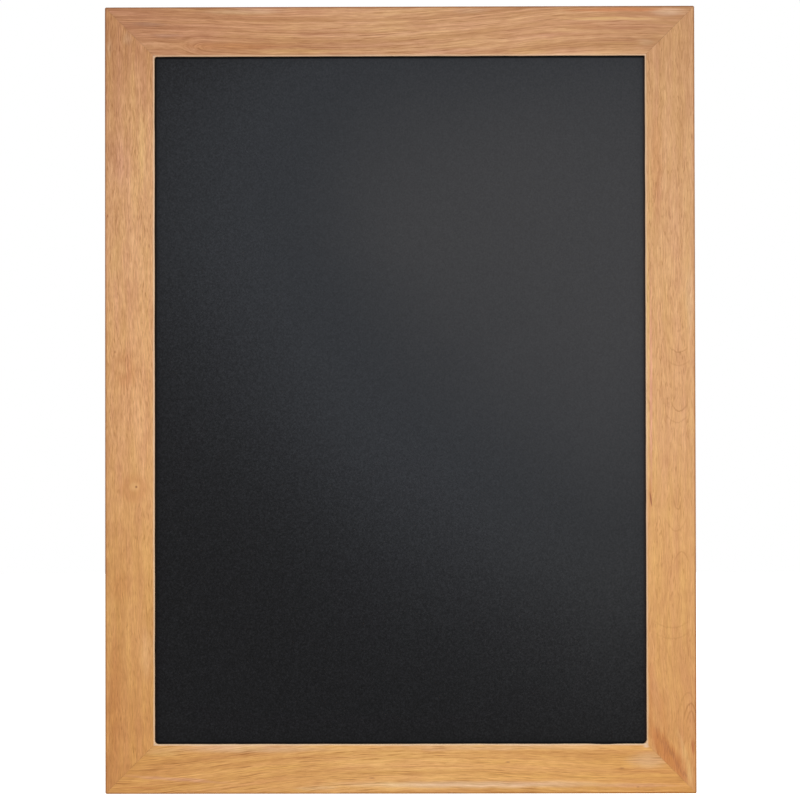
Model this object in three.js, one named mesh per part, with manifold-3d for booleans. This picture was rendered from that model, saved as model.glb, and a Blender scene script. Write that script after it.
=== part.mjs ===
// Wall-hung chalkboard: a mitred timber frame, a black writing sheet on a backing board held in the
// frame's rebate by flexible points, and two strap hangers with captive D rings on the back.
// Millimetres. +X right, +Y towards the wall, +Z up. The front faces -Y, and the back of the frame lies
// in the plane y = 0. The origin is on the back face of the top rail, midway along it and across it.

import * as THREE from "three";
import { mergeVertices } from "three/addons/utils/BufferGeometryUtils.js";
import Module from "manifold-3d";

// Frame
const BOARD_WIDTH = 600;
const BOARD_HEIGHT = 800;
const MEMBER_WIDTH = 50.5;
const MEMBER_DEPTH = 18;
const LIP_DEPTH = 5;
const REBATE_WIDTH = 8;
const FRONT_ARRIS = 1.2;
const BACK_CHAMFER = 0.6;
const OUTER_CORNER_RADIUS = 1.5;
const SIGHT_ARRIS = 1;
const SIGHT_CORNER_RADII = { topRight: 1, topLeft: 2.5, bottomLeft: 4, bottomRight: 4.5 };
const GLUE_LINE = 0.1;

// Writing sheet and backing board
const SHEET_THICKNESS = 1;
const BACKING_THICKNESS = 4;
const EDGE_CLEARANCE = 1;
const SEAT_GAP = 0.05;

// Flexible points that hold the boards in the rebate
const POINT_LENGTH = 16;
const POINT_WIDTH = 5.5;
const POINT_THICKNESS = 0.4;
const POINT_BITE = 6.5;
const POINT_TAPER = 4;
const POINT_KERF_CLEARANCE = 0.1;
const POINTS_PER_RAIL = 3;
const POINTS_PER_STILE = 4;

// V nails across the back of each mitre
const NAIL_LENGTH = 10;
const NAIL_SINK = 0.3;
const NAIL_STRIP = 0.5;
const NAIL_SPREAD = 3.4;
const NAIL_RISE = 4;
const NAIL_WING = 1.6;
const NAIL_WING_DROP = 0.7;
const NAIL_KERF_CLEARANCE = 0.1;
const NAILS_PER_MITRE = 2;

// Strap hangers
const HANGER_DROP = 120;
const STRAP_LENGTH = 30;
const STRAP_SIDE_PLAY = 0.55;
const STRAP_SHEET = 0.9;
const STRAP_SLIT = 0.15;
const STRAP_NECK_RADIUS = 1.5;
const BARREL_CLEARANCE = 0.15;
const RING_WIRE_RADIUS = 1.2;
const RING_INNER_WIDTH = 16;
const RING_REACH = 15;
const RING_BEND_RADIUS = 2.4;
const RING_BUTT_GAP = 0.4;
const RING_REST_GAP = 0.3;

// Hanger screws
const SCREW_LENGTH = 12.7;
const SCREW_SHANK_RADIUS = 1.5;
const SCREW_TIP_LENGTH = 3;
const SCREW_HEAD_RADIUS = 3.2;
const SCREW_HEAD_RIM = 0.5;
const SCREW_HEAD_CROWN = 1.6;
const SCREW_HOLE_CLEARANCE = 0.4;
const PILOT_CLEARANCE = 0.1;
const RECESS_WIDTH = 0.8;
const RECESS_SPAN = 3.4;
const RECESS_DEPTH = 1.3;

// Wall bumpers
const BUMPER_RADIUS = 6;
const BUMPER_HEIGHT = 5;
const BUMPER_ROUND = 1.4;
const BUMPER_INSET = 25;

// Fineness of round stretches
const CORNER_STEPS = 6;
const ARRIS_STEPS = 5;
const RING_STEPS = 52;
const RING_HALF_SIDES = 6;
const BARREL_STEPS = 22;
const NECK_STEPS = 5;
const FOOT_STEPS = 16;
const SCREW_SIDES = 20;
const BUMPER_SIDES = 32;

// How far a cutter runs past what it cuts, the least radius of a corner, and when two points are one
const OVERRUN = 1;
const LEAST_CORNER_RADIUS = 0.1;
const MERGE_DISTANCE = 1e-4;

const SIGHT_WIDTH = BOARD_WIDTH - 2 * MEMBER_WIDTH;
const SIGHT_HEIGHT = BOARD_HEIGHT - 2 * MEMBER_WIDTH;
const REBATE_OPENING_WIDTH = SIGHT_WIDTH + 2 * REBATE_WIDTH;
const REBATE_OPENING_HEIGHT = SIGHT_HEIGHT + 2 * REBATE_WIDTH;
const FRONT_PLANE = -MEMBER_DEPTH;
const LIP_BACK = FRONT_PLANE + LIP_DEPTH;
const SHEET_BACK = LIP_BACK + SEAT_GAP + SHEET_THICKNESS;
const BACKING_BACK = SHEET_BACK + SEAT_GAP + BACKING_THICKNESS;
const POINT_FRONT = BACKING_BACK + SEAT_GAP;
const STRAP_THICKNESS = 2 * STRAP_SHEET + STRAP_SLIT;
const BORE_RADIUS = RING_WIRE_RADIUS + BARREL_CLEARANCE;
const RING_AXIS_HEIGHT = STRAP_SHEET + BORE_RADIUS;
const RING_LEAN = Math.asin((RING_AXIS_HEIGHT - RING_WIRE_RADIUS - RING_REST_GAP) / RING_REACH);
const RING_HALF_WIDTH = RING_INNER_WIDTH / 2 + RING_WIRE_RADIUS;
const STRAP_WIDTH = 2 * (RING_HALF_WIDTH - RING_BEND_RADIUS - STRAP_SIDE_PLAY);
const SCREW_HEAD_SEAT = STRAP_THICKNESS + SEAT_GAP;
const HANGER_X = (BOARD_WIDTH - MEMBER_WIDTH) / 2;
const HANGER_Z = BOARD_HEIGHT / 2 - HANGER_DROP;

// Axes that lay a flat shape in the plane of the frame, and one that stands it across the frame.
const FACE_ON = new THREE.Matrix4().makeBasis(
  new THREE.Vector3(1, 0, 0),
  new THREE.Vector3(0, 0, 1),
  new THREE.Vector3(0, -1, 0),
);
const EDGE_ON = new THREE.Matrix4().makeBasis(
  new THREE.Vector3(0, 1, 0),
  new THREE.Vector3(0, 0, 1),
  new THREE.Vector3(1, 0, 0),
);

const wasm = await Module();
wasm.setup();

function material(color, roughness, metalness = 0) {
  return new THREE.MeshStandardMaterial({ color, roughness, metalness });
}

const MATERIALS = {
  topRail: material(0xc4936b, 0.5),
  bottomRail: material(0xd7a266, 0.5),
  leftStile: material(0xcf9b69, 0.5),
  rightStile: material(0xd5a270, 0.5),
  sheet: material(0x323335, 0.7),
  backing: material(0x8a6a4a, 0.9),
  zinc: material(0xb9bcbf, 0.35, 1),
  steel: material(0x8f9194, 0.45, 1),
  rubber: material(0x26262a, 0.8),
};

// Solid for booleans, from a closed geometry.
function solidOf(geometry) {
  const bare = geometry.clone();
  bare.deleteAttribute("normal");
  bare.deleteAttribute("uv");
  const merged = mergeVertices(bare, MERGE_DISTANCE);
  const mesh = new wasm.Mesh({
    numProp: 3,
    vertProperties: merged.attributes.position.array,
    triVerts: new Uint32Array(merged.index.array),
  });
  return new wasm.Manifold(mesh);
}

// Geometry of a solid, with flat normals.
function geometryOf(solid) {
  const mesh = solid.getMesh();
  const indexed = new THREE.BufferGeometry();
  indexed.setAttribute("position", new THREE.BufferAttribute(mesh.vertProperties, mesh.numProp));
  indexed.setIndex(new THREE.BufferAttribute(mesh.triVerts, 1));
  const flat = indexed.toNonIndexed();
  flat.computeVertexNormals();
  return flat;
}

function named(name, geometry, look) {
  const mesh = new THREE.Mesh(geometry, look);
  mesh.name = name;
  return mesh;
}

// Prism of a shape drawn in x and z, from the depth y = back towards the front.
function facePrism(shape, back, depth) {
  const geometry = new THREE.ExtrudeGeometry(shape, { depth, bevelEnabled: false });
  return geometry.applyMatrix4(FACE_ON).translate(0, back, 0);
}

// Body of revolution about the y axis, from a profile of [radius, y] points.
function turned(profile, sides) {
  return new THREE.LatheGeometry(profile.map(([radius, y]) => new THREE.Vector2(radius, y)), sides);
}

function polygon(points) {
  return new THREE.Shape(points.map(([x, z]) => new THREE.Vector2(x, z)));
}

// Outline of a strip of even thickness that follows a path of [x, y] points.
function ribbon(path, thickness) {
  const points = path.map(([x, y]) => new THREE.Vector2(x, y));
  const last = points.length - 1;
  const sides = points.map((point, i) => {
    const before = points[i].clone().sub(points[Math.max(i - 1, 0)]).normalize();
    const after = points[Math.min(i + 1, last)].clone().sub(points[i]).normalize();
    const into = i === 0 ? after : before;
    const out = i === last ? before : after;
    const across = new THREE.Vector2(-into.y - out.y, into.x + out.x);
    across.multiplyScalar(thickness / 2 / (1 + into.dot(out)));
    return [point.clone().add(across), point.clone().sub(across)];
  });
  const right = sides.map((pair) => pair[1]);
  const left = sides.map((pair) => pair[0]).reverse();
  return new THREE.Shape([...right, ...left]);
}

// Points of a rectangle with rounded corners, grown outwards, anticlockwise in x and z.
function roundedOutline(width, height, radii, growth = 0) {
  const corners = [
    [1, 1, radii.topRight],
    [-1, 1, radii.topLeft],
    [-1, -1, radii.bottomLeft],
    [1, -1, radii.bottomRight],
  ];
  return corners.flatMap(([sideX, sideZ, radius], corner) => {
    const grown = Math.max(radius + growth, LEAST_CORNER_RADIUS);
    const centreX = sideX * (width / 2 + growth - grown);
    const centreZ = sideZ * (height / 2 + growth - grown);
    return Array.from({ length: CORNER_STEPS + 1 }, (_, step) => {
      const angle = ((corner + step / CORNER_STEPS) * Math.PI) / 2;
      return [centreX + grown * Math.cos(angle), centreZ + grown * Math.sin(angle)];
    });
  });
}

// Closed skin over a stack of convex outlines round the y axis, listed from the front backwards.
function loft(levels) {
  const count = levels[0].points.length;
  const vertices = levels.flatMap(({ y, points }) => points.map(([x, z]) => [x, y, z]));
  const frontCentre = vertices.push([0, levels[0].y, 0]) - 1;
  const backCentre = vertices.push([0, levels.at(-1).y, 0]) - 1;
  const lastRow = (levels.length - 1) * count;
  const faces = [];
  for (let i = 0; i < count; i += 1) {
    const next = (i + 1) % count;
    faces.push(frontCentre, i, next);
    faces.push(backCentre, lastRow + next, lastRow + i);
    for (let row = 0; row < lastRow; row += count) {
      faces.push(row + i, row + count + i, row + count + next);
      faces.push(row + i, row + count + next, row + next);
    }
  }
  const geometry = new THREE.BufferGeometry();
  geometry.setAttribute("position", new THREE.Float32BufferAttribute(vertices.flat(), 3));
  geometry.setIndex(faces);
  return geometry;
}

// Depth and setback of each step round a quarter-round arris, from the front face inwards.
function arrisSteps(radius) {
  return Array.from({ length: ARRIS_STEPS + 1 }, (_, step) => {
    const angle = ((step / ARRIS_STEPS) * Math.PI) / 2;
    return { depth: radius * (1 - Math.cos(angle)), setback: radius * (1 - Math.sin(angle)) };
  });
}

// The whole frame before it is parted at the mitres: outer body, less the sight opening and rebate.
function frameRing() {
  const even = {
    topRight: OUTER_CORNER_RADIUS,
    topLeft: OUTER_CORNER_RADIUS,
    bottomLeft: OUTER_CORNER_RADIUS,
    bottomRight: OUTER_CORNER_RADIUS,
  };
  const outer = (y, growth) => ({ y, points: roundedOutline(BOARD_WIDTH, BOARD_HEIGHT, even, growth) });
  const sight = (y, growth) => ({
    y,
    points: roundedOutline(SIGHT_WIDTH, SIGHT_HEIGHT, SIGHT_CORNER_RADII, growth),
  });
  const body = loft([
    ...arrisSteps(FRONT_ARRIS).map(({ depth, setback }) => outer(FRONT_PLANE + depth, -setback)),
    outer(-BACK_CHAMFER, 0),
    outer(0, -BACK_CHAMFER),
  ]);
  const opening = loft([
    sight(FRONT_PLANE - OVERRUN, SIGHT_ARRIS),
    ...arrisSteps(SIGHT_ARRIS).map(({ depth, setback }) => sight(FRONT_PLANE + depth, setback)),
    sight(OVERRUN, 0),
  ]);
  const rebateDepth = OVERRUN - LIP_BACK;
  const rebate = new THREE.BoxGeometry(REBATE_OPENING_WIDTH, rebateDepth, REBATE_OPENING_HEIGHT);
  rebate.translate(0, OVERRUN - rebateDepth / 2, 0);
  return solidOf(body).subtract(solidOf(opening)).subtract(solidOf(rebate));
}

// Prism that keeps one member of the ring: the side towards [outX, outZ], up to its two mitres.
function mitreWedge([outX, outZ]) {
  const along = Math.abs(outX) > 0 ? BOARD_HEIGHT / 2 : BOARD_WIDTH / 2;
  const across = Math.abs(outX) > 0 ? BOARD_WIDTH / 2 : BOARD_HEIGHT / 2;
  const halfGlue = (GLUE_LINE / 2) * Math.SQRT2;
  const inwards = MEMBER_WIDTH + Math.max(...Object.values(SIGHT_CORNER_RADII));
  const corners = [
    [-along - OVERRUN + halfGlue, across + OVERRUN],
    [-along + inwards + halfGlue, across - inwards],
    [along - inwards - halfGlue, across - inwards],
    [along + OVERRUN - halfGlue, across + OVERRUN],
  ];
  const plan = corners.map(([u, v]) => [u * outZ + v * outX, v * outZ - u * outX]);
  return solidOf(facePrism(polygon(plan), OVERRUN, MEMBER_DEPTH + 2 * OVERRUN));
}

// A copy of a geometry turned about y, so that its +z points along [x, z], and moved to a place.
function placed(geometry, [x, z], direction) {
  const turn = new THREE.Matrix4().makeRotationY(Math.atan2(direction[0], direction[1]));
  return geometry.clone().applyMatrix4(turn).translate(x, 0, z);
}

function put(object, [x, z], direction) {
  object.rotation.y = Math.atan2(direction[0], direction[1]);
  object.position.x = x;
  object.position.z = z;
  return object;
}

// Centre line of a V nail: the V straddles the joint, and its wings turn down at the ends.
const NAIL_PATH = [
  [-NAIL_SPREAD - NAIL_WING, NAIL_RISE - NAIL_WING_DROP],
  [-NAIL_SPREAD, NAIL_RISE],
  [0, 0],
  [NAIL_SPREAD, NAIL_RISE],
  [NAIL_SPREAD + NAIL_WING, NAIL_RISE - NAIL_WING_DROP],
].map(([u, v]) => [u, v - NAIL_RISE / 2]);

// Moves the two ends of a path outwards along it.
function lengthened(path, extra) {
  const grow = ([x, y], [innerX, innerY]) => {
    const length = Math.hypot(x - innerX, y - innerY);
    return [x + ((x - innerX) * extra) / length, y + ((y - innerY) * extra) / length];
  };
  return [grow(path[0], path[1]), ...path.slice(1, -1), grow(path.at(-1), path.at(-2))];
}

function nailGeometry() {
  return facePrism(ribbon(NAIL_PATH, NAIL_STRIP), -NAIL_SINK, NAIL_LENGTH);
}

function nailKerf() {
  const path = lengthened(NAIL_PATH, NAIL_KERF_CLEARANCE);
  const depth = OVERRUN + NAIL_SINK + NAIL_LENGTH + NAIL_KERF_CLEARANCE;
  return facePrism(ribbon(path, NAIL_STRIP + 2 * NAIL_KERF_CLEARANCE), OVERRUN, depth);
}

// Places along a stretch from -length / 2 to length / 2, with half a pitch left at each end.
function spread(count, length) {
  return Array.from({ length: count }, (_, i) => ((i + 0.5) / count - 0.5) * length);
}

// Where the V nails stand: [name, place, direction along the mitre towards the sight opening]. They
// share out the full-depth wood between the outer corner and the rebate.
function nailPlaces() {
  const solidWidth = MEMBER_WIDTH - REBATE_WIDTH;
  const insets = spread(NAILS_PER_MITRE, solidWidth).map((place) => place + solidWidth / 2);
  const corners = [
    ["top_left", -1, 1],
    ["top_right", 1, 1],
    ["bottom_left", -1, -1],
    ["bottom_right", 1, -1],
  ];
  return corners.flatMap(([corner, sideX, sideZ]) =>
    insets.map((inset, i) => {
      const place = [sideX * (BOARD_WIDTH / 2 - inset), sideZ * (BOARD_HEIGHT / 2 - inset)];
      return [`v_nail_${corner}_${i + 1}`, place, [-sideX, -sideZ]];
    }),
  );
}

// Flat outline of a flexible point, its tip towards +z and the rebate wall at z = 0.
function pointOutline(clearance) {
  const half = POINT_WIDTH / 2 + clearance;
  const tip = POINT_BITE + clearance;
  return polygon([
    [-half, POINT_BITE - POINT_LENGTH],
    [half, POINT_BITE - POINT_LENGTH],
    [half, POINT_BITE - POINT_TAPER],
    [0, tip],
    [-half, POINT_BITE - POINT_TAPER],
  ]);
}

function pointGeometry() {
  return facePrism(pointOutline(0), POINT_FRONT + POINT_THICKNESS, POINT_THICKNESS);
}

function pointKerf() {
  const back = POINT_FRONT + POINT_THICKNESS + POINT_KERF_CLEARANCE;
  const depth = POINT_THICKNESS + 2 * POINT_KERF_CLEARANCE;
  return facePrism(pointOutline(POINT_KERF_CLEARANCE), back, depth);
}

// Where the flexible points stand: [name, place on the rebate wall, outward direction].
function pointPlaces() {
  const rail = spread(POINTS_PER_RAIL, REBATE_OPENING_WIDTH);
  const stile = spread(POINTS_PER_STILE, REBATE_OPENING_HEIGHT);
  const wallX = REBATE_OPENING_WIDTH / 2;
  const wallZ = REBATE_OPENING_HEIGHT / 2;
  return [
    ...rail.map((x, i) => [`flexible_point_top_${i + 1}`, [x, wallZ], [0, 1]]),
    ...rail.map((x, i) => [`flexible_point_bottom_${i + 1}`, [x, -wallZ], [0, -1]]),
    ...stile.map((z, i) => [`flexible_point_left_${i + 1}`, [-wallX, z], [-1, 0]]),
    ...stile.map((z, i) => [`flexible_point_right_${i + 1}`, [wallX, z], [1, 0]]),
  ];
}

// Fall from the ring's axis to where the strap's outer layer runs flat, below the barrel.
function neckFall() {
  const reach = BORE_RADIUS + STRAP_SHEET + STRAP_NECK_RADIUS;
  return Math.sqrt(reach ** 2 - (STRAP_THICKNESS + STRAP_NECK_RADIUS - RING_AXIS_HEIGHT) ** 2);
}

// Drops of the screws below the ring's axis: one midway between the barrel's neck and the bow of the
// ring when that hangs down, and one at the centre of the strap's round foot.
function screwDrops() {
  const bowInside = RING_REACH - RING_WIRE_RADIUS;
  return [(neckFall() + bowInside) / 2, STRAP_LENGTH - STRAP_WIDTH / 2];
}

// Hole for one hanger screw in a stile, standing in from the back.
function pilotHole(x, z) {
  const depth = SCREW_LENGTH - STRAP_THICKNESS + PILOT_CLEARANCE + OVERRUN;
  const hole = new THREE.CylinderGeometry(
    SCREW_SHANK_RADIUS + PILOT_CLEARANCE,
    SCREW_SHANK_RADIUS + PILOT_CLEARANCE,
    depth,
    SCREW_SIDES,
  );
  return hole.translate(x, OVERRUN - depth / 2, z);
}

// The four members, with the kerfs and pilot holes that the fixings need.
function frameMembers() {
  let ring = frameRing();
  for (const [, place, direction] of nailPlaces()) {
    ring = ring.subtract(solidOf(placed(nailKerf(), place, direction)));
  }
  for (const [, place, direction] of pointPlaces()) {
    ring = ring.subtract(solidOf(placed(pointKerf(), place, direction)));
  }
  for (const side of [-1, 1]) {
    for (const drop of screwDrops()) {
      ring = ring.subtract(solidOf(pilotHole(side * HANGER_X, HANGER_Z - drop)));
    }
  }
  const member = (name, direction, look) =>
    named(name, geometryOf(ring.intersect(mitreWedge(direction))), look);
  return [
    member("top_rail", [0, 1], MATERIALS.topRail),
    member("bottom_rail", [0, -1], MATERIALS.bottomRail),
    member("left_stile", [-1, 0], MATERIALS.leftStile),
    member("right_stile", [1, 0], MATERIALS.rightStile),
  ];
}

// Writing sheet and backing board. They stand on the bottom rail's rebate.
function panel() {
  const width = REBATE_OPENING_WIDTH - 2 * EDGE_CLEARANCE;
  const height = REBATE_OPENING_HEIGHT - 2 * EDGE_CLEARANCE;
  const settled = SEAT_GAP - EDGE_CLEARANCE;
  const board = (name, back, thickness, look) => {
    const mesh = named(name, new THREE.BoxGeometry(width, thickness, height), look);
    mesh.position.set(0, back - thickness / 2, settled);
    return mesh;
  };
  return [
    board("writing_sheet", SHEET_BACK, SHEET_THICKNESS, MATERIALS.sheet),
    board("backing_board", BACKING_BACK, BACKING_THICKNESS, MATERIALS.backing),
  ];
}

// Side view of the folded strap, in depth from the wood and height from the ring's axis: up the back
// layer, round the ring's bar, through a reverse curve and down the outer layer.
function strapPath() {
  const radius = BORE_RADIUS + STRAP_SHEET / 2;
  const neckRadius = STRAP_NECK_RADIUS + STRAP_SHEET / 2;
  const innerLayer = STRAP_SHEET / 2;
  const outerLayer = STRAP_THICKNESS - STRAP_SHEET / 2;
  const neckX = outerLayer + neckRadius;
  const tangent = Math.atan2(-neckFall(), neckX - RING_AXIS_HEIGHT);
  const arc = (centreX, centreY, r, from, to, steps) =>
    Array.from({ length: steps + 1 }, (_, i) => {
      const angle = from + ((to - from) * i) / steps;
      return [centreX + r * Math.cos(angle), centreY + r * Math.sin(angle)];
    });
  return [
    [innerLayer, -STRAP_LENGTH],
    ...arc(RING_AXIS_HEIGHT, 0, radius, Math.PI, tangent, BARREL_STEPS),
    ...arc(neckX, -neckFall(), neckRadius, tangent + Math.PI, Math.PI, NECK_STEPS).slice(1),
    [outerLayer, -STRAP_LENGTH],
  ];
}

// Plan of the strap: square at the barrel, round at the foot.
function strapPlan() {
  const half = STRAP_WIDTH / 2;
  const top = BORE_RADIUS + STRAP_SHEET + OVERRUN;
  const foot = Array.from({ length: FOOT_STEPS + 1 }, (_, step) => {
    const angle = Math.PI * (1 + step / FOOT_STEPS);
    return [half * Math.cos(angle), half - STRAP_LENGTH + half * Math.sin(angle)];
  });
  return polygon([[half, top], [-half, top], ...foot]);
}

function strapGeometry() {
  const folded = new THREE.ExtrudeGeometry(ribbon(strapPath(), STRAP_SHEET), {
    depth: STRAP_WIDTH,
    bevelEnabled: false,
  });
  folded.applyMatrix4(EDGE_ON).translate(-STRAP_WIDTH / 2, 0, 0);
  const height = RING_AXIS_HEIGHT + BORE_RADIUS + STRAP_SHEET;
  let strap = solidOf(folded).intersect(
    solidOf(facePrism(strapPlan(), height + OVERRUN, height + 2 * OVERRUN)),
  );
  for (const drop of screwDrops()) {
    const radius = SCREW_SHANK_RADIUS + SCREW_HOLE_CLEARANCE;
    const hole = new THREE.CylinderGeometry(radius, radius, STRAP_THICKNESS + 2 * OVERRUN, SCREW_SIDES);
    strap = strap.subtract(solidOf(hole.translate(0, STRAP_THICKNESS / 2, -drop)));
  }
  return geometryOf(strap);
}

// Centre line of the bent wire: half the bar, a bend, the bow, a bend and the other half of the bar.
function ringPath() {
  const half = RING_HALF_WIDTH;
  const bow = RING_REACH - half;
  const bend = RING_BEND_RADIUS;
  const at = (x, z) => new THREE.Vector3(x, 0, z);
  const arc = (x, z, radius, from, to) => {
    const flat = new THREE.EllipseCurve(x, z, radius, radius, from, to, to < from);
    const curve = new THREE.Curve();
    curve.getPoint = (t) => {
      const point = flat.getPoint(t);
      return at(point.x, point.y);
    };
    return curve;
  };
  const path = new THREE.CurvePath();
  path.add(new THREE.LineCurve3(at(RING_BUTT_GAP / 2, 0), at(half - bend, 0)));
  path.add(arc(half - bend, bend, bend, -Math.PI / 2, 0));
  path.add(new THREE.LineCurve3(at(half, bend), at(half, bow)));
  path.add(arc(0, bow, half, 0, Math.PI));
  path.add(new THREE.LineCurve3(at(-half, bow), at(-half, bend)));
  path.add(arc(bend - half, bend, bend, Math.PI, 1.5 * Math.PI));
  path.add(new THREE.LineCurve3(at(bend - half, 0), at(-RING_BUTT_GAP / 2, 0)));
  return path;
}

function ringGeometry() {
  const section = new THREE.Shape();
  section.absarc(0, 0, RING_WIRE_RADIUS, 0, 2 * Math.PI, false);
  return new THREE.ExtrudeGeometry(section, {
    steps: RING_STEPS,
    curveSegments: RING_HALF_SIDES,
    bevelEnabled: false,
    extrudePath: ringPath(),
  });
}

// Pan-head screw on the y axis, the wood's face at y = 0 and its tip towards the front.
function screwGeometry() {
  const tip = STRAP_THICKNESS - SCREW_LENGTH;
  const rim = SCREW_HEAD_SEAT + SCREW_HEAD_RIM;
  const top = rim + SCREW_HEAD_CROWN;
  const crown = Array.from({ length: ARRIS_STEPS }, (_, step) => {
    const angle = ((step / ARRIS_STEPS) * Math.PI) / 2;
    return [SCREW_HEAD_RADIUS * Math.cos(angle), rim + SCREW_HEAD_CROWN * Math.sin(angle)];
  });
  const profile = [
    [0, tip],
    [SCREW_SHANK_RADIUS, tip + SCREW_TIP_LENGTH],
    [SCREW_SHANK_RADIUS, SCREW_HEAD_SEAT],
    [SCREW_HEAD_RADIUS, SCREW_HEAD_SEAT],
    ...crown,
    [0, top],
  ];
  const slot = (width, length) =>
    solidOf(new THREE.BoxGeometry(width, 2 * RECESS_DEPTH, length).translate(0, top, 0));
  const recess = slot(RECESS_WIDTH, RECESS_SPAN).add(slot(RECESS_SPAN, RECESS_WIDTH));
  return geometryOf(solidOf(turned(profile, SCREW_SIDES)).subtract(recess));
}

// One hanger, its origin on the wood under the ring's axis.
function hanger(side) {
  const group = new THREE.Group();
  group.add(named(`${side}_hanger_strap`, strapGeometry(), MATERIALS.zinc));
  screwDrops().forEach((drop, i) => {
    const screw = named(`${side}_hanger_screw_${i + 1}`, screwGeometry(), MATERIALS.zinc);
    screw.position.z = -drop;
    group.add(screw);
  });
  const ring = named(`${side}_d_ring`, ringGeometry(), MATERIALS.zinc);
  ring.position.y = RING_AXIS_HEIGHT;
  ring.rotation.x = RING_LEAN;
  group.add(ring);
  group.position.set(side === "left" ? -HANGER_X : HANGER_X, 0, HANGER_Z);
  return group;
}

// Rubber bumper, stuck on the back of the frame.
function bumperGeometry() {
  const profile = [[0, 0], [BUMPER_RADIUS, 0]];
  for (const { depth, setback } of arrisSteps(BUMPER_ROUND).reverse()) {
    profile.push([BUMPER_RADIUS - setback, BUMPER_HEIGHT - depth]);
  }
  profile.push([0, BUMPER_HEIGHT]);
  return turned(profile, BUMPER_SIDES);
}

function bumper(side) {
  const mesh = named(`${side}_wall_bumper`, bumperGeometry(), MATERIALS.rubber);
  const x = BOARD_WIDTH / 2 - BUMPER_INSET;
  mesh.position.set(side === "left" ? -x : x, 0, BUMPER_INSET - BOARD_HEIGHT / 2);
  return mesh;
}

function chalkboard() {
  const board = new THREE.Group();
  board.add(...frameMembers(), ...panel());
  for (const [name, place, direction] of nailPlaces()) {
    board.add(put(named(name, nailGeometry(), MATERIALS.steel), place, direction));
  }
  for (const [name, place, direction] of pointPlaces()) {
    board.add(put(named(name, pointGeometry(), MATERIALS.steel), place, direction));
  }
  board.add(hanger("left"), hanger("right"), bumper("left"), bumper("right"));
  board.position.z = (MEMBER_WIDTH - BOARD_HEIGHT) / 2;
  return board;
}

const root = new THREE.Group();
root.add(chalkboard());

export default root;
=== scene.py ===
import math

import bmesh
import bpy
from mathutils import Matrix, Vector, noise as fractal


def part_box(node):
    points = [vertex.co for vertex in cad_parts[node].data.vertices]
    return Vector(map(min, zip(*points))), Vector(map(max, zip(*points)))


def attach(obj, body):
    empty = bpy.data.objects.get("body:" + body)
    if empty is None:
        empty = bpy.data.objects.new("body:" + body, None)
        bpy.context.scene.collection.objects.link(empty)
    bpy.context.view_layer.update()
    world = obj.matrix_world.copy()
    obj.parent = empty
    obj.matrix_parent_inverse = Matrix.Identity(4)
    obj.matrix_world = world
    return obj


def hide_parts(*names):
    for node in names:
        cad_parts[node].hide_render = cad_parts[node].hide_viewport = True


# Wall chalkboard: finer pieces, materials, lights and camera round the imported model. The sizes of the
# board are in millimetres, with z from its middle, until they go into a mesh. Meshes and the studio are
# in metres.
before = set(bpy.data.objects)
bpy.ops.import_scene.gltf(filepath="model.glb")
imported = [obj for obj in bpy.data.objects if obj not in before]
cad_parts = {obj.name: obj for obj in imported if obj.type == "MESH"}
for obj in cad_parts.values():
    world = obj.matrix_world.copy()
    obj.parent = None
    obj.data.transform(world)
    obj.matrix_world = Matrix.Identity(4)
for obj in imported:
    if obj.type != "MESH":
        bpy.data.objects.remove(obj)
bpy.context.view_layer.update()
scene = bpy.context.scene

MM = 0.001
QUARTER_TURN = math.pi / 2
FULL_TURN = 2 * math.pi

# The model's sizes, as in the CAD
CENTRE_Z = -374.75
HALF_WIDTH = 300.0
HALF_HEIGHT = 400.0
MEMBER_WIDTH = 50.5
FRONT = -18.0
LIP_BACK = -13.0
REBATE = 8.0
FRONT_ARRIS = 1.2
BACK_CHAMFER = 0.6
OUTER_CORNER = 1.5
SIGHT_ARRIS = 1.0
SIGHT_CORNERS = {(1, 1): 1.0, (-1, 1): 2.5, (-1, -1): 4.0, (1, -1): 4.5}
HALF_GLUE = 0.05
SIGHT_HALF_WIDTH = HALF_WIDTH - MEMBER_WIDTH
SIGHT_HALF_HEIGHT = HALF_HEIGHT - MEMBER_WIDTH
HANGER_X = 274.75
HANGER_Z = 280.0
SHEET_METAL = 0.9
FOLD_SLIT = 0.15
STRAP_THICKNESS = 2 * SHEET_METAL + FOLD_SLIT
STRAP_HALF_WIDTH = 6.25
STRAP_LENGTH = 30.0
NECK_RADIUS = 1.5
BORE_RADIUS = 1.35
AXIS_HEIGHT = BORE_RADIUS + SHEET_METAL
RING_WIRE = 1.2
RING_HALF_WIDTH = 9.2
RING_REACH = 15.0
RING_BEND = 2.4
RING_HALF_GAP = 0.2
RING_LEAN = math.asin(0.05)
SEAT_GAP = 0.05
SCREW_LENGTH = 12.7
SHANK_RADIUS = 1.5
TIP_LENGTH = 3.0
HEAD_RADIUS = 3.2
HEAD_RIM = 0.5
HEAD_CROWN = 1.6
HOLE_RADIUS = 1.9
RECESS_SPAN = 3.4
RECESS_WIDTH = 0.8
KERF_CLEARANCE = 0.1
BUMPER_X = 275.0
BUMPER_Z = -375.0
BUMPER_RADIUS = 6.0
BUMPER_HEIGHT = 5.0
BUMPER_ROUND = 1.4


# Colours

BYTE = 255
SRGB_KNEE = 10.3
SRGB_SLOPE = 12.92
SRGB_OFFSET = 0.055
SRGB_POWER = 2.4


def srgb(red, green, blue):
    """Linear colour of an 8-bit screen colour."""
    linear = []
    for level in (red, green, blue):
        share = level / BYTE
        curved = ((share + SRGB_OFFSET) / (1 + SRGB_OFFSET)) ** SRGB_POWER
        linear.append(share / SRGB_SLOPE if level <= SRGB_KNEE else curved)
    return (*linear, 1.0)


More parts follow.
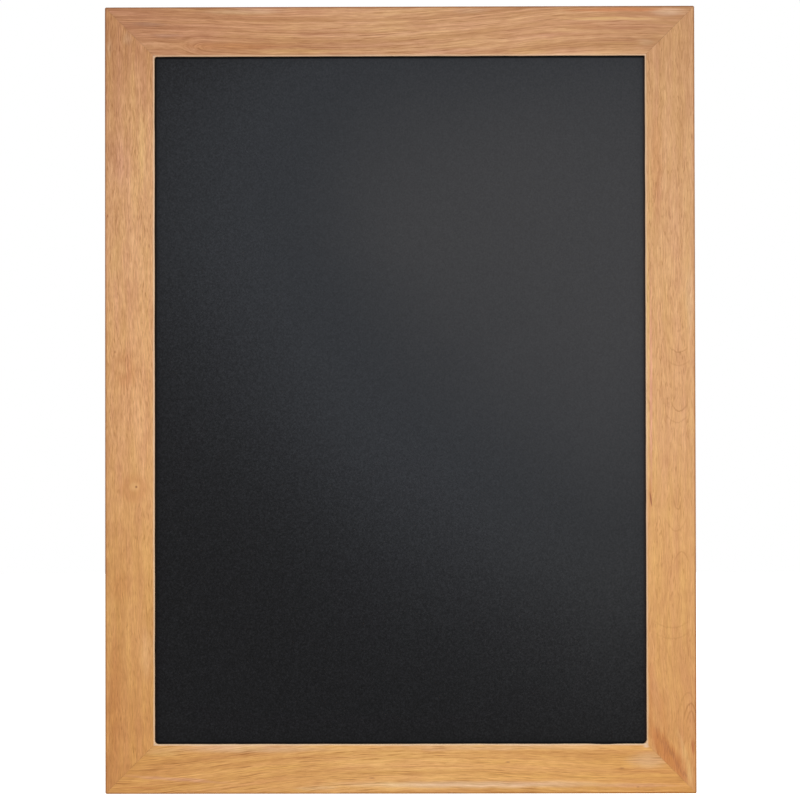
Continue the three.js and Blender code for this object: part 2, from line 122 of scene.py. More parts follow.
# Tones of the wood
UMBER = srgb(158, 98, 62)
RUST = srgb(188, 116, 66)
AMBER = srgb(196, 125, 68)
ROSE = srgb(212, 154, 124)
BLUSH = srgb(224, 160, 130)
PLUM = srgb(158, 112, 90)
STRAW = srgb(226, 182, 118)
HONEY = srgb(228, 176, 122)
PALE = srgb(232, 200, 166)
# Painted shade for the wall of the lip and for its foot
WALL_SHADE_TONE = srgb(52, 32, 16)
FOOT_SHADE_TONE = srgb(8, 5, 3)

# What a density of 1 takes from red, green and blue
STAIN = (0.8, 1.1, 1.5)
WARM_STAIN = (0.25, 0.8, -0.5)
BROWN_STAIN = (0.2, 0.5, 1.0)
SHADE = (1.0, 1.0, 1.0)


# Node arithmetic

class Value:
    """A number or a vector that a node works out at each point of a surface."""

    def __init__(self, socket):
        self.socket = socket

    def __add__(self, other):
        return calc("ADD", self, other)

    def __sub__(self, other):
        return calc("SUBTRACT", self, other)

    def __rsub__(self, other):
        return calc("SUBTRACT", other, self)

    def __mul__(self, other):
        return calc("MULTIPLY", self, other)

    def __truediv__(self, other):
        return calc("DIVIDE", self, other)

    __radd__ = __add__


# Places of a colour Mix node's sockets
MIX_FACTOR = 0
MIX_FIRST = 6
MIX_SECOND = 7
MIX_RESULT = 2

# How far a step of 1 in the seed moves a noise along each axis
SEED_STEPS = (1.0, 1.7, 2.3)

# Reach of a patch through the board, far past either side of it
THROUGH = 1e6

# The node tree that the functions below add to
tree = None


def add(kind, **settings):
    node = tree.nodes.new(kind)
    for key, value in settings.items():
        setattr(node, key, value)
    return node


def feed(socket, value):
    if isinstance(value, Value):
        tree.links.new(value.socket, socket)
    else:
        socket.default_value = value


def calc(operation, *terms):
    node = add("ShaderNodeMath", operation=operation)
    for socket, term in zip(node.inputs, terms):
        feed(socket, term)
    return Value(node.outputs[0])


def smooth(value, low, high):
    """0 below low and 1 above high, with a smooth step between; the other way round if low is larger."""
    node = add("ShaderNodeMapRange", interpolation_type="SMOOTHSTEP")
    feed(node.inputs["Value"], value)
    node.inputs["From Min"].default_value = low
    node.inputs["From Max"].default_value = high
    return Value(node.outputs["Result"])


def combine(x, y, z):
    node = add("ShaderNodeCombineXYZ")
    for socket, value in zip(node.inputs, (x, y, z)):
        feed(socket, value)
    return Value(node.outputs[0])


def parts_of(vector):
    node = add("ShaderNodeSeparateXYZ")
    feed(node.inputs[0], vector)
    return [Value(output) for output in node.outputs]


def mapped(vector, scale, shift):
    node = add("ShaderNodeMapping")
    feed(node.inputs["Vector"], vector)
    node.inputs["Scale"].default_value = scale
    node.inputs["Location"].default_value = shift
    return Value(node.outputs[0])


def place():
    """Vector of the point on the object in millimetres, its z from the middle of the board."""
    coordinates = add("ShaderNodeTexCoord")
    return mapped(Value(coordinates.outputs["Object"]), (1 / MM,) * 3, (0.0, 0.0, -CENTRE_Z))


def length_of(vector):
    node = add("ShaderNodeVectorMath", operation="LENGTH")
    feed(node.inputs[0], vector)
    return Value(node.outputs["Value"])


def noise(vector, size, seed, detail=1.0, roughness=0.5):
    """Noise from 0 to 1 round 0.5, its lumps of the given size along each axis."""
    node = add("ShaderNodeTexNoise")
    shift = tuple(seed * step for step in SEED_STEPS)
    feed(node.inputs["Vector"], mapped(vector, tuple(1 / s for s in size), shift))
    node.inputs["Scale"].default_value = 1.0
    node.inputs["Detail"].default_value = detail
    node.inputs["Roughness"].default_value = roughness
    return Value(node.outputs["Fac"])


def sway(vector, *settings):
    """The same noise round 0."""
    return noise(vector, *settings) - 0.5


def blend(first, second, factor):
    """Colour between two others."""
    node = add("ShaderNodeMix", data_type="RGBA")
    feed(node.inputs[MIX_FACTOR], factor)
    feed(node.inputs[MIX_FIRST], first)
    feed(node.inputs[MIX_SECOND], second)
    return Value(node.outputs[MIX_RESULT])


def ramp(value, low, high, stops):
    """Colour along a row of evenly spaced stops, the first at low and the last at high."""
    node = add("ShaderNodeValToRGB")
    node.color_ramp.interpolation = "EASE"
    elements = node.color_ramp.elements
    while len(elements) < len(stops):
        elements.new(0.5)
    for i, (element, colour) in enumerate(zip(elements, stops)):
        element.position = i / (len(stops) - 1)
        element.color = colour
    feed(node.inputs["Fac"], calc("MULTIPLY_ADD", value, 1 / (high - low), -low / (high - low)))
    return Value(node.outputs["Color"])


def darkened(colour, density, absorb=STAIN):
    """Colour seen through a stain of the given density."""
    node = add("ShaderNodeMix", data_type="RGBA", blend_type="MULTIPLY")
    node.inputs[MIX_FACTOR].default_value = 1.0
    feed(node.inputs[MIX_FIRST], colour)
    stain = add("ShaderNodeCombineColor")
    for socket, share in zip(stain.inputs, absorb):
        feed(socket, calc("EXPONENT", density * -share))
    tree.links.new(stain.outputs[0], node.inputs[MIX_SECOND])
    return Value(node.outputs[MIX_RESULT])


def bumped(height):
    """Normal of a surface whose height is given in millimetres."""
    node = add("ShaderNodeBump")
    node.inputs["Strength"].default_value = 1.0
    node.inputs["Distance"].default_value = MM
    feed(node.inputs["Height"], height)
    return Value(node.outputs[0])


def patch_mask(point, x, z, half_x, half_z, turn=0.0, core=0.2):
    """1 in the core of an ellipse in the plane of the board, turned by so many degrees, and 0 outside it."""
    node = add("ShaderNodeMapping", vector_type="TEXTURE")
    feed(node.inputs["Vector"], point)
    node.inputs["Location"].default_value = (x, 0.0, z)
    node.inputs["Rotation"].default_value = (0.0, math.radians(turn), 0.0)
    node.inputs["Scale"].default_value = (half_x, THROUGH, half_z)
    return smooth(length_of(Value(node.outputs[0])), 1.0, core)


def material(name):
    """New material, whose nodes the calls that follow make. Gives the material and its shader node."""
    global tree
    made = bpy.data.materials.new(name)
    made.use_nodes = True
    tree = made.node_tree
    return made, tree.nodes["Principled BSDF"]


def finished(shader, colour, roughness, height, specular, metallic=0.0):
    feed(shader.inputs["Base Color"], colour)
    feed(shader.inputs["Roughness"], roughness)
    feed(shader.inputs["Normal"], bumped(height))
    shader.inputs["Specular IOR Level"].default_value = specular
    shader.inputs["Metallic"].default_value = metallic


# Wood

# Layers of noise in the wood: the step from the member's seed, the detail, the roughness and the size
# along the grain, across it and into the board. Where no size stands here, the member's spec has it.
LAYERS = {
    "wander": (0, 1.0, 0.5, (170, 45, 45)),
    "ripple": (5, 1.0, 0.5, (26, 12, 12)),
    "bands": (11, 2.0, 0.5, None),
    "streaks": (17, 3.0, 0.7, None),
    "flecks": (19, 1.0, 0.5, None),
    "fibres": (23, 1.0, 0.5, (14, 0.5, 0.6)),
    "blotches": (29, 2.0, 0.6, (26, 13, 13)),
    "dashes": (31, 1.0, 0.5, None),
    "clusters": (37, 1.0, 0.5, (38, 10, 10)),
    "pores": (41, 1.0, 0.5, (4.2, 0.34, 0.34)),
    "lacquer": (43, 1.0, 0.5, (9, 9, 9)),
    "peel": (47, 1.0, 0.5, (1.3, 1.3, 1.3)),
    "warmth": (53, 1.0, 0.5, (90, 7, 9)),
}

# How long a knot's influence is along the grain, how far its calm core goes and how calm it is, and how
# far the grain runs into the board beside an arch
KNOT_STRETCH = 0.5
KNOT_CORE = 0.3
KNOT_CALM = 0.35
ARCH_DIP = 0.35

# Where dashes, their clusters and pores stand out of their noise, and how dark they and the fibres are
DASH_STEP = (0.57, 0.69)
CLUSTER_STEP = (0.40, 0.62)
PORE_STEP = (0.60, 0.72)
LONE_DASH = 0.3
FIBRE_DENSITY = 0.16
PORE_DENSITY = 0.16
BLOTCH_WARMTH = 0.5

# Width of an arc, its full part, how it fades to its ends, and how the layers fray it
ARC_WIDTH = 1.2
ARC_CORE = 0.2
ARC_ENDS = (1.15, 0.5)
ARC_FRAY_X = 3.0
ARC_FRAY_Z = 4.0

# How far streaks and ripple fray the rim of a patch, along the grain and across it
STREAK_FRAY = 30.0
RIPPLE_FRAY = 8.0
CROSS_FRAY = 3.0

# Where the looks of the edges fade out: behind the front, in from the outside, out from the sight edge,
# and down the wall of the lip
FRONT_FADE = (1.6, 0.6)
OUTER_FADE = (2.1, 0.7)
SIGHT_FADE = (1.9, 0.9)
SIGHT_WAVER = 0.8
LIP_FADE = (1.1, 0.7)
LIP_TOP = (0.8, 2.2)
LIP_FOOT = (1.8, 3.4)
# Strengths of the painted shade on the outer edge and on the wall of the lip
OUTER_SHADE = 0.62
LIP_WALL_SHADE = 0.9

# Height in millimetres of each layer, and what it adds to the roughness
LACQUER_HEIGHT = 0.05
PEEL_HEIGHT = 0.006
FIBRE_HEIGHT = 0.02
PORE_DEPTH = 0.02
DASH_DEPTH = 0.012
WOOD_ROUGHNESS = 0.46
LACQUER_ROUGHNESS = 0.14
PORE_ROUGHNESS = 0.12
WOOD_SPECULAR = 0.25


def arc_line(x, z, top_x, top_z, half, rise):
    """1 along a thin arc whose ends lie by the rise above its middle, or below it where it is negative."""
    s = (x - top_x) / half
    slope = s * (2.0 * rise / half)
    gap = calc("ABSOLUTE", z - top_z - s * s * rise) / calc("SQRT", slope * slope + 1.0)
    return smooth(gap, ARC_WIDTH, ARC_WIDTH * ARC_CORE) * smooth(calc("ABSOLUTE", s), *ARC_ENDS)


def wood(name, spec):
    """Lacquered wood of one member of the frame."""
    made, shader = material(name)
    raw = place()
    x, depth, z = parts_of(raw)
    upright = spec["upright"]
    u, v = (z, x) if upright else (x, z)
    straight = combine(u, v, depth)

    def layer(vector, kind):
        step, detail, roughness, size = LAYERS[kind]
        return noise(vector, size or spec["sizes"][kind], spec["seed"] + step, detail, roughness)

    # The grain wanders, leans where the spec says so, and bends round knots. Its figure is calmer at one
    # end of each member and in the knots.
    wander = layer(straight, "wander") - 0.5
    ripple = layer(straight, "ripple") - 0.5
    across = v - spec["middle"] + wander * spec["wander"] + ripple * spec["ripple"]
    for start, end, rise in spec["leans"]:
        across = across - smooth(u, start, end) * rise
    vigour = smooth(u, *spec["calm"]) * (1.0 - spec["least"]) + spec["least"]
    for ku, kv, reach, push in spec["knots"]:
        scale = (KNOT_STRETCH / reach, 1 / reach, 0.0)
        away = length_of(mapped(straight, scale, (-KNOT_STRETCH * ku / reach, -kv / reach, 0.0)))
        across = across - (v - kv) * smooth(away, 1.0, 0.0) * push
        vigour = vigour - smooth(away, 1.0, KNOT_CORE) * KNOT_CALM
    # Where the saw passed over the heart of a growth ring, the lines close into nested arches.
    beside, into = across, depth
    if spec["arch"]:
        start, end, rise = spec["arch"]
        arch = smooth(u, start, end) * rise
        beside = calc("SQRT", across * across + arch * arch)
        into = depth + across * ARCH_DIP
    grain = combine(u, beside, into)

    # Density of the stain in the wood, in layers from the broadest to the finest
    bands = layer(grain, "bands") - 0.5
    streaks = layer(grain, "streaks") - 0.5
    flecks = layer(grain, "flecks") - 0.5
    fibres = layer(grain, "fibres") - 0.5
    blotches = layer(straight, "blotches") - 0.5
    dash = smooth(layer(grain, "dashes"), *DASH_STEP)
    clusters = smooth(layer(grain, "clusters"), *CLUSTER_STEP)
    pore = smooth(layer(grain, "pores"), *PORE_STEP)
    lines = (
        streaks * spec["streaks"]
        + flecks * spec["flecks"]
        + fibres * FIBRE_DENSITY
        + dash * (clusters * (1.0 - LONE_DASH) + LONE_DASH) * spec["dashes"]
        + pore * PORE_DENSITY
    )
    density = bands * spec["bands"] + blotches * spec["blotches"] + lines * vigour - spec["lift"]
    density = density + smooth(calc("ABSOLUTE", v), *spec["side"]) * spec["side_stain"]
    front_side = smooth(depth - FRONT, *FRONT_FADE)
    for *arc, strength in spec["arcs"]:
        line = arc_line(x + ripple * ARC_FRAY_X, z + streaks * ARC_FRAY_Z, *arc)
        density = density + line * front_side * strength
    warmth = layer(grain, "warmth") - 0.5 + blotches * BLOTCH_WARMTH

    # Tone along the member, and its own stains and pale places. The rims of patches are frayed.
    colour = ramp(u, -spec["half"], spec["half"], spec["tones"])
    along = streaks * STREAK_FRAY + ripple * RIPPLE_FRAY
    aside = (ripple + streaks) * CROSS_FRAY
    frayed = combine(x + aside, 0.0, z + along) if upright else combine(x + along, 0.0, z + aside)
    for point, kind in ((frayed, "patches"), (raw, "marks")):
        for px, pz, half_x, half_z, tone, strength, *turn_core in spec[kind]:
            colour = blend(colour, tone, patch_mask(point, px, pz, half_x, half_z, *turn_core) * strength)

    # The arrises: the sight edge gets a painted highlight, the outer edge painted shade, and the wall of the
    # lip painted shade, darkest at its foot.
    out_x = calc("ABSOLUTE", x)
    out_z = calc("ABSOLUTE", z)
    to_sight = calc("MAXIMUM", out_x - SIGHT_HALF_WIDTH, out_z - SIGHT_HALF_HEIGHT)
    to_outside = calc("MINIMUM", HALF_WIDTH - out_x, HALF_HEIGHT - out_z)
    # Painted highlight: the sight edge is paled where its rounded arris catches the light.
    sight_highlight = smooth(to_sight + (ripple + fibres) * SIGHT_WAVER, *SIGHT_FADE) * front_side
    # Painted shade darkens the outer arris, where it turns away from the lamps.
    colour = darkened(colour, density + smooth(to_outside, *OUTER_FADE) * OUTER_SHADE)
    colour = darkened(colour, warmth * spec["warmth"], WARM_STAIN)
    colour = blend(colour, PALE, sight_highlight * spec["sight_highlight"])
    # Painted shade on the wall of the lip, deepest at its foot.
    wall = smooth(to_sight, *LIP_FADE)
    colour = blend(colour, WALL_SHADE_TONE, wall * smooth(depth - FRONT, *LIP_TOP) * LIP_WALL_SHADE)
    colour = blend(colour, FOOT_SHADE_TONE, wall * smooth(depth - FRONT, *LIP_FOOT) * spec["foot"])

    lacquer = layer(raw, "lacquer") - 0.5
    height = lacquer * LACQUER_HEIGHT + layer(raw, "peel") * PEEL_HEIGHT + fibres * FIBRE_HEIGHT
    height = height - pore * PORE_DEPTH - dash * DASH_DEPTH
    roughness = WOOD_ROUGHNESS + lacquer * LACQUER_ROUGHNESS + pore * PORE_ROUGHNESS
    finished(shader, colour, roughness, height, WOOD_SPECULAR)
    return made


# Specs of the members. What is named like a layer is its strength, and least is the share of the figure
# that is left where it is calm. knots gives [along, across, reach, push], arch and each of leans
# [from, to, rise] of the grain, calm and side where a change starts and ends, and arcs [x, z, half width,
# rise, strength]. marks have clean rims and patches frayed ones, as [x, z, half width, half height, tone,
# strength], then maybe a turn in degrees and the share of the radius that is all tone.
# foot is the strength of the painted shade at the foot of the lip's wall, and eased that of the painted
# highlight on the sight edge.
MEMBER = dict(knots=(), arch=None, arcs=(), marks=())
STILE = MEMBER | dict(
    upright=True, half=HALF_HEIGHT, wander=7.0, ripple=3.2,
    sizes=dict(bands=(150, 7, 9), streaks=(28, 1.3, 2.2), flecks=(8.5, 0.8, 1.2), dashes=(8, 0.85, 1.1)),
    bands=0.34, streaks=0.58, flecks=0.78, dashes=0.40, blotches=0.32, warmth=0.24, lift=0.06,
    sight_highlight=0.6, foot=0.4, calm=(-130, 40), least=0.66, side=(262, 298), side_stain=0.04,
)
RAIL = MEMBER | dict(
    upright=False, half=HALF_WIDTH, wander=6.0, ripple=1.6,
    sizes=dict(bands=(260, 5.2, 9), streaks=(170, 1.45, 2.2), flecks=(13, 0.8, 1.2), dashes=(32, 0.85, 1.1)),
    bands=0.80, streaks=1.00, flecks=0.58, dashes=0.50, blotches=0.22, warmth=0.22, lift=0.05,
    sight_highlight=0.5, foot=0.9, calm=(-400, -300), least=1.0, side=(358, 350), side_stain=-0.10,
)
WOODS = {
    "left_stile": STILE | dict(
        seed=3, middle=-274.75,
        tones=(
            srgb(202, 141, 79), srgb(208, 151, 90), srgb(214, 158, 107),
            srgb(211, 158, 110), srgb(189, 134, 90),
        ),
        leans=((-400, 400, -14),), sight_highlight=0.75, side_stain=0.07,
        knots=((-88.4, -269.5, 12, 0.5),),
        marks=(
            (-297.3, 187.3, 0.8, 2.6, UMBER, 0.9),
            (-255.1, 156.6, 0.8, 3, UMBER, 0.7),
            (-289.8, 48.8, 1, 2.4, UMBER, 0.9),
            (-271, -90, 19, 18, RUST, 0.26, 0, 0.5),
            (-270, -88, 7.5, 7, HONEY, 0.50),
            (-268.2, -88.4, 1.7, 1.8, UMBER, 1),
        ),
        patches=(
            (-279, 28, 15, 26, RUST, 0.40),
            (-290, -300, 9, 90, RUST, 0.40),
            (-262, 255, 6, 60, STRAW, 0.35),
            (-283, 240, 14, 40, ROSE, 0.35),
            (-288, 140, 9, 30, STRAW, 0.25),
            (-285, -190, 16, 20, RUST, 0.25),
            (-293, 256, 8, 40, UMBER, 0.28),
            (-256, 242, 5, 20, UMBER, 0.20),
            (-258, -256, 9, 38, HONEY, 0.42),
            (-282, 31, 8, 11, HONEY, 0.60),
            (-294, 181, 5, 14, HONEY, 0.30),
            (-277, 368, 7, 9, PALE, 0.20),
            (-295, 360, 4, 12, PALE, 0.18),
        ),
    ),
    "right_stile": STILE | dict(
        seed=7.3, middle=281, bands=0.28, streaks=0.52, flecks=0.60,
        sizes=STILE["sizes"] | dict(streaks=(36, 1.3, 2.2), flecks=(11, 0.8, 1.2)),
        dashes=0.34, blotches=0.20, side_stain=0, lift=0.04, least=0.74,
        tones=(
            srgb(210, 149, 89), srgb(213, 156, 97), srgb(213, 159, 108),
            srgb(209, 158, 109), srgb(195, 144, 98),
        ),
        leans=((-250, -330, 7),),
        arcs=(
            (283.1, 47.5, 10, 5.5, 0.24),
            (282.7, 34, 12, 6.5, 0.12),
            (283.5, -12.6, 8, 7.5, 0.28),
            (281.2, -24, 12, 8.5, 0.13),
            (281.4, -111.7, 5.5, 17, 0.20),
            (279.2, -134, 12, 16, 0.10),
            (285.2, -155, 9, -15, 0.16),
            (275.2, -232, 19, 8, 0.12),
            (275.2, -243, 20, 8, 0.10),
            (293.7, -309, 8, -20, 0.26),
            (294.2, -317, 5, -17, 0.20),
            (291.2, -298, 13, -32, 0.12),
        ),
        marks=(
            (264.4, 153.4, 1, 1.6, UMBER, 0.4),
            (254, -95, 2.4, 26, RUST, 0.40),
            (254.3, -101.5, 1.2, 9.5, UMBER, 1, -7, 0.4),
            (251.8, 40, 1.7, 190, STRAW, 0.60, 0, 0.5),
            (254.9, 14, 1.8, 135, BLUSH, 0.65, 0, 0.4),
        ),
        patches=(
            (269.5, -3.3, 11.5, 1.1, UMBER, 0.24, 37, 0.4),
            (253.5, -315, 3.5, 50, RUST, 0.40),
            (266, -325, 4, 30, RUST, 0.35, -12),
            (271.5, -360, 10.5, 40, AMBER, 0.95, -31, 0.55),
            (264, -345, 1.6, 18, UMBER, 0.32, -24, 0.5),
            (273.5, -356, 2.4, 19, UMBER, 0.46, -31, 0.4),
            (284.5, -375, 1.8, 15, UMBER, 0.40, -38, 0.5),
            (286.5, -356, 3, 34, STRAW, 0.34, -17, 0.3),
            (268, -318, 2, 26, RUST, 0.30, -16, 0.4),
            (296.7, -350, 2.4, 12, RUST, 0.95),
            (293, -381, 4, 16, STRAW, 0.4),
            (261, 235, 8, 90, RUST, 0.28),
            (254, -277, 5, 20, RUST, 0.25),
            (294, 100, 5, 45, PALE, 0.18),
        ),
    ),
    "top_rail": RAIL | dict(
        seed=12.9, middle=360, calm=(260, 0), least=0.78,
        tones=(
            srgb(181, 126, 89), srgb(190, 136, 95), srgb(198, 147, 104),
            srgb(196, 144, 101), srgb(186, 135, 92),
        ),
        leans=((-60, 235, 19), (-260, -120, -5)),
        arch=(-188, -226, 8),
        patches=(
            (-255, 383, 26, 4, PLUM, 0.60),
            (-240, 371, 22, 3, PLUM, 0.45),
            (-168, 360, 80, 5.5, RUST, 0.30),
            (225, 396.2, 78, 3, RUST, 0.70),
            (215, 387, 80, 2.4, STRAW, 0.50),
            (215, 378, 80, 2.8, UMBER, 0.48),
            (160, 370.5, 100, 3.6, UMBER, 0.36),
            (-105, 354.5, 60, 4.5, STRAW, 0.42),
            (131, 354.5, 30, 4.5, STRAW, 0.36),
            (274, 394, 24, 6, PALE, 0.34),
            (251, 363, 12, 5, PALE, 0.20),
            (-158, 395, 58, 4, PALE, 0.26),
            (74, 395, 22, 4, PALE, 0.18),
            (188, 380, 24, 6, UMBER, 0.26),
            (104, 368.5, 34, 4.5, UMBER, 0.28),
        ),
    ),
    "bottom_rail": RAIL | dict(
        seed=21.4, middle=-374.75, bands=0.56, streaks=0.86, sight_highlight=0.85, calm=(300, 60), least=0.72,
        tones=(
            srgb(208, 148, 82), srgb(214, 156, 90), srgb(220, 164, 98),
            srgb(217, 159, 92), srgb(213, 152, 82),
        ),
        leans=((-310, -10, 24), (40, 270, -6)),
        marks=(
            (-29.2, -383.9, 4.5, 0.9, UMBER, 0.7),
            (108.7, -367.8, 3.5, 1, UMBER, 0.7),
            (224.2, -374, 4, 1, UMBER, 0.6),
            (240.4, -393.2, 2.5, 0.9, UMBER, 0.7),
            (249, -352, 4.5, 2, PALE, 0.6),
        ),
        patches=(
            (-225, -385, 70, 2.6, ROSE, 0.50, 4),
            (-265, -393.5, 40, 2, RUST, 0.50),
            (-150, -354, 110, 6, PALE, 0.34),
            (110, -353, 140, 4, PALE, 0.20),
            (75, -390.5, 185, 5, PALE, 0.55),
            (30, -397.5, 170, 2.2, RUST, 0.30),
            (235, -391.5, 60, 3, ROSE, 0.45),
            (251, -366, 26, 12, PALE, 0.32),
            (157, -384, 22, 4, RUST, 0.20),
            (34, -354, 22, 4, HONEY, 0.60),
            (-152, -354, 24, 4.5, STRAW, 0.60),
            (-240, -357, 28, 7, STRAW, 0.40),
            (-85, -394, 30, 3, PALE, 0.25),
        ),
    ),
}


# Writing surface

# Its noises, as size, seed, detail and roughness
DRIFT = ((260, 260, 260), 2.0, 2.0)
SPECK = ((1.6, 1.6, 1.6), 5.0, 2.0, 0.6)
GRIT = ((0.5, 0.5, 0.5), 9.0)

# Painted sheen on it, a reflection of light drawn into its colour: where it is brightest, how far out it is
# half as bright, how much sooner it fades towards the lower left and above, and its tones from none to full
SHEEN_X = 203.0
SHEEN_Z = 158.0
SHEEN_HALF_X = 343.0
SHEEN_HALF_Z = 315.0
SHEEN_SKEW = 1.15
SHEEN_ABOVE = -1.35
SHEEN_POWER = 2.4
SHEEN_DRIFT = 0.5
SHEEN_TONES = (srgb(17, 17, 19), srgb(45, 47, 51), srgb(59, 59, 61))

# The lower right is a shade browner, from where to where along x and z.
BROWN_X = (-60, 240)
BROWN_Z = (0, -200)
BROWN_DENSITY = 0.14

# The grain shows where there is little painted sheen.
GRAIN_POWER = 3.0
GRAIN_SHEENLESS = 3.3
GRAIN_LEAST = 0.55
GRIT_SHARE = 0.36

# Painted shadow that the lip casts on the sheet against the left stile, the right stile and the rails: tone,
# strength, how ragged, and its rim
LIP_SHADOW = (
    (srgb(26, 16, 7), 0.85, 1.5, (2.6, 0.9)),
    (srgb(58, 42, 38), 0.60, 1.5, (2.4, 0.8)),
    (srgb(3, 2, 2), 0.97, 1.2, (2.3, 1.1)),
)
SPECK_HEIGHT = 0.03
GRIT_HEIGHT = 0.02
SHEET_ROUGHNESS = 0.62
SPECK_ROUGHNESS = 0.3
SHEET_SPECULAR = 0.12


def writing_surface(name):
    made, shader = material(name)
    raw = place()
    x, _, z = parts_of(raw)
    # Painted sheen: the colour is lighter towards the upper right, a lamp's reflection drawn into the sheet.
    left = (SHEEN_X - x) / SHEEN_HALF_X
    below = (SHEEN_Z - z) / SHEEN_HALF_Z
    steep = calc("POWER", calc("MAXIMUM", below, below * SHEEN_ABOVE), SHEEN_POWER)
    away = left * left + steep
    away = away + calc("MAXIMUM", left, 0.0) * calc("MAXIMUM", below, 0.0) * SHEEN_SKEW
    painted_sheen = calc("POWER", 0.5, away + sway(raw, *DRIFT) * SHEEN_DRIFT)
    colour = ramp(painted_sheen, 0.0, 1.0, SHEEN_TONES)
    colour = darkened(colour, smooth(x, *BROWN_X) * smooth(z, *BROWN_Z) * BROWN_DENSITY, BROWN_STAIN)
    speck = sway(raw, *SPECK)
    grit = sway(raw, *GRIT)
    sheenless = calc("POWER", calc("MAXIMUM", 1.0 - painted_sheen, 0.0), GRAIN_POWER)
    colour = darkened(colour, (speck + grit * GRIT_SHARE) * (sheenless * GRAIN_SHEENLESS + GRAIN_LEAST), SHADE)
    # Painted shadow: a dark line on the sheet along the lip, darkest against the rails.
    insets = (SIGHT_HALF_WIDTH + x, SIGHT_HALF_WIDTH - x, SIGHT_HALF_HEIGHT - calc("ABSOLUTE", z))
    for inset, (tone, strength, ragged, rim) in zip(insets, LIP_SHADOW):
        colour = blend(colour, tone, smooth(inset + speck * ragged, *rim) * strength)
    height = speck * SPECK_HEIGHT + grit * GRIT_HEIGHT
    finished(shader, colour, SHEET_ROUGHNESS + speck * SPECK_ROUGHNESS, height, SHEET_SPECULAR)
    return made


# Backing board: fibres lying and standing, darker flecks and the print of the press screen
BOARD_TONE = srgb(150, 112, 76)
BOARD_CLOUD = ((70, 30, 90), 1.0, 2.0)
LYING = ((7.0, 1.0, 0.8), 3.0, 2.0)
STANDING = ((0.8, 1.0, 7.0), 8.0, 2.0)
BOARD_FLECK = ((2.2, 2.0, 1.4), 13.0)
FLECK_STEP = (0.64, 0.74)
SCREEN_PITCH = 1.6
CLOUD_DENSITY = 0.5
HAIR_DENSITY = 0.5
FLECK_DENSITY = 0.35
SCREEN_DENSITY = 0.05
SCREEN_HEIGHT = 0.045
HAIR_HEIGHT = 0.12
BOARD_ROUGHNESS = 0.82
CLOUD_ROUGHNESS = 0.2
BOARD_SPECULAR = 0.25


def fibreboard(name):
    made, shader = material(name)
    raw = place()
    x, _, z = parts_of(raw)
    cloud = sway(raw, *BOARD_CLOUD)
    hairs = sway(raw, *LYING) + sway(raw, *STANDING)
    fleck = smooth(noise(raw, *BOARD_FLECK), *FLECK_STEP)
    screen = calc("SINE", x * (FULL_TURN / SCREEN_PITCH)) * calc("SINE", z * (FULL_TURN / SCREEN_PITCH))
    density = cloud * CLOUD_DENSITY + hairs * HAIR_DENSITY + fleck * FLECK_DENSITY
    colour = darkened(BOARD_TONE, density + screen * SCREEN_DENSITY)
    height = screen * SCREEN_HEIGHT + hairs * HAIR_HEIGHT
    finished(shader, colour, BOARD_ROUGHNESS + cloud * CLOUD_ROUGHNESS, height, BOARD_SPECULAR)
    return made


# Steel: tone, shade, roughness, and the size that its fine marks are drawn out to
PLATED = {
    "nail_steel": (srgb(150, 152, 155), srgb(96, 92, 88), 0.42, (2.0, 0.3, 2.0)),
    "point_steel": (srgb(158, 160, 163), srgb(104, 100, 96), 0.40, (3.0, 0.4, 0.8)),
    "zinc_plate": (srgb(206, 208, 212), srgb(150, 152, 156), 0.30, (0.5, 0.5, 3.0)),
    "screw_steel": (srgb(210, 211, 212), srgb(142, 143, 146), 0.27, (0.6, 0.6, 0.6)),
    "ring_wire": (srgb(212, 212, 214), srgb(158, 158, 160), 0.22, (0.8, 0.4, 2.0)),
}
METAL_CLOUD = ((5, 5, 5), 2.0, 2.0)
METAL_MARKS = (4.0, 2.0, 0.6)
METAL_SPOTS = ((0.9, 0.9, 0.9), 6.0)
SPOT_STEP = (0.66, 0.76)
SHADE_STEP = (-0.12, 0.28)
MARK_SHADE = 0.6
SPOT_SHADE = 0.25
MARK_HEIGHT = 0.03
SPOT_DEPTH = 0.008
CLOUD_WEAR = 0.25
MARK_WEAR = 0.3
SPOT_WEAR = 0.12
METAL_SPECULAR = 0.5


def plated(name, tone, shade, roughness, drag):
    made, shader = material(name)
    raw = place()
    cloud = sway(raw, *METAL_CLOUD)
    marks = sway(raw, drag, *METAL_MARKS)
    spots = smooth(noise(raw, *METAL_SPOTS), *SPOT_STEP)
    dull = smooth(cloud + marks * MARK_SHADE + spots * SPOT_SHADE, *SHADE_STEP)
    height = (marks + cloud) * MARK_HEIGHT - spots * SPOT_DEPTH
    rough = roughness + cloud * CLOUD_WEAR + marks * MARK_WEAR + spots * SPOT_WEAR
    finished(shader, blend(tone, shade, dull), rough, height, METAL_SPECULAR, metallic=1.0)
    return made


# Rubber
RUBBER_CLOUD = ((4, 4, 4), 2.0, 2.0)
RUBBER_GRIT = ((0.4, 0.4, 0.4), 4.0)
RUBBER_DUST = ((1.6, 1.6, 1.6), 7.0, 2.0)
DUST_STEP = (0.55, 0.75)
DUST_SHARE = 0.35
RUBBER_TONE = srgb(40, 40, 43)
DUST_TONE = srgb(84, 82, 80)
RUBBER_DENSITY = 0.4
RUBBER_GRIT_HEIGHT = 0.02
RUBBER_CLOUD_HEIGHT = 0.05
RUBBER_ROUGHNESS = 0.72
GRIT_ROUGHNESS = 0.2
RUBBER_SPECULAR = 0.35


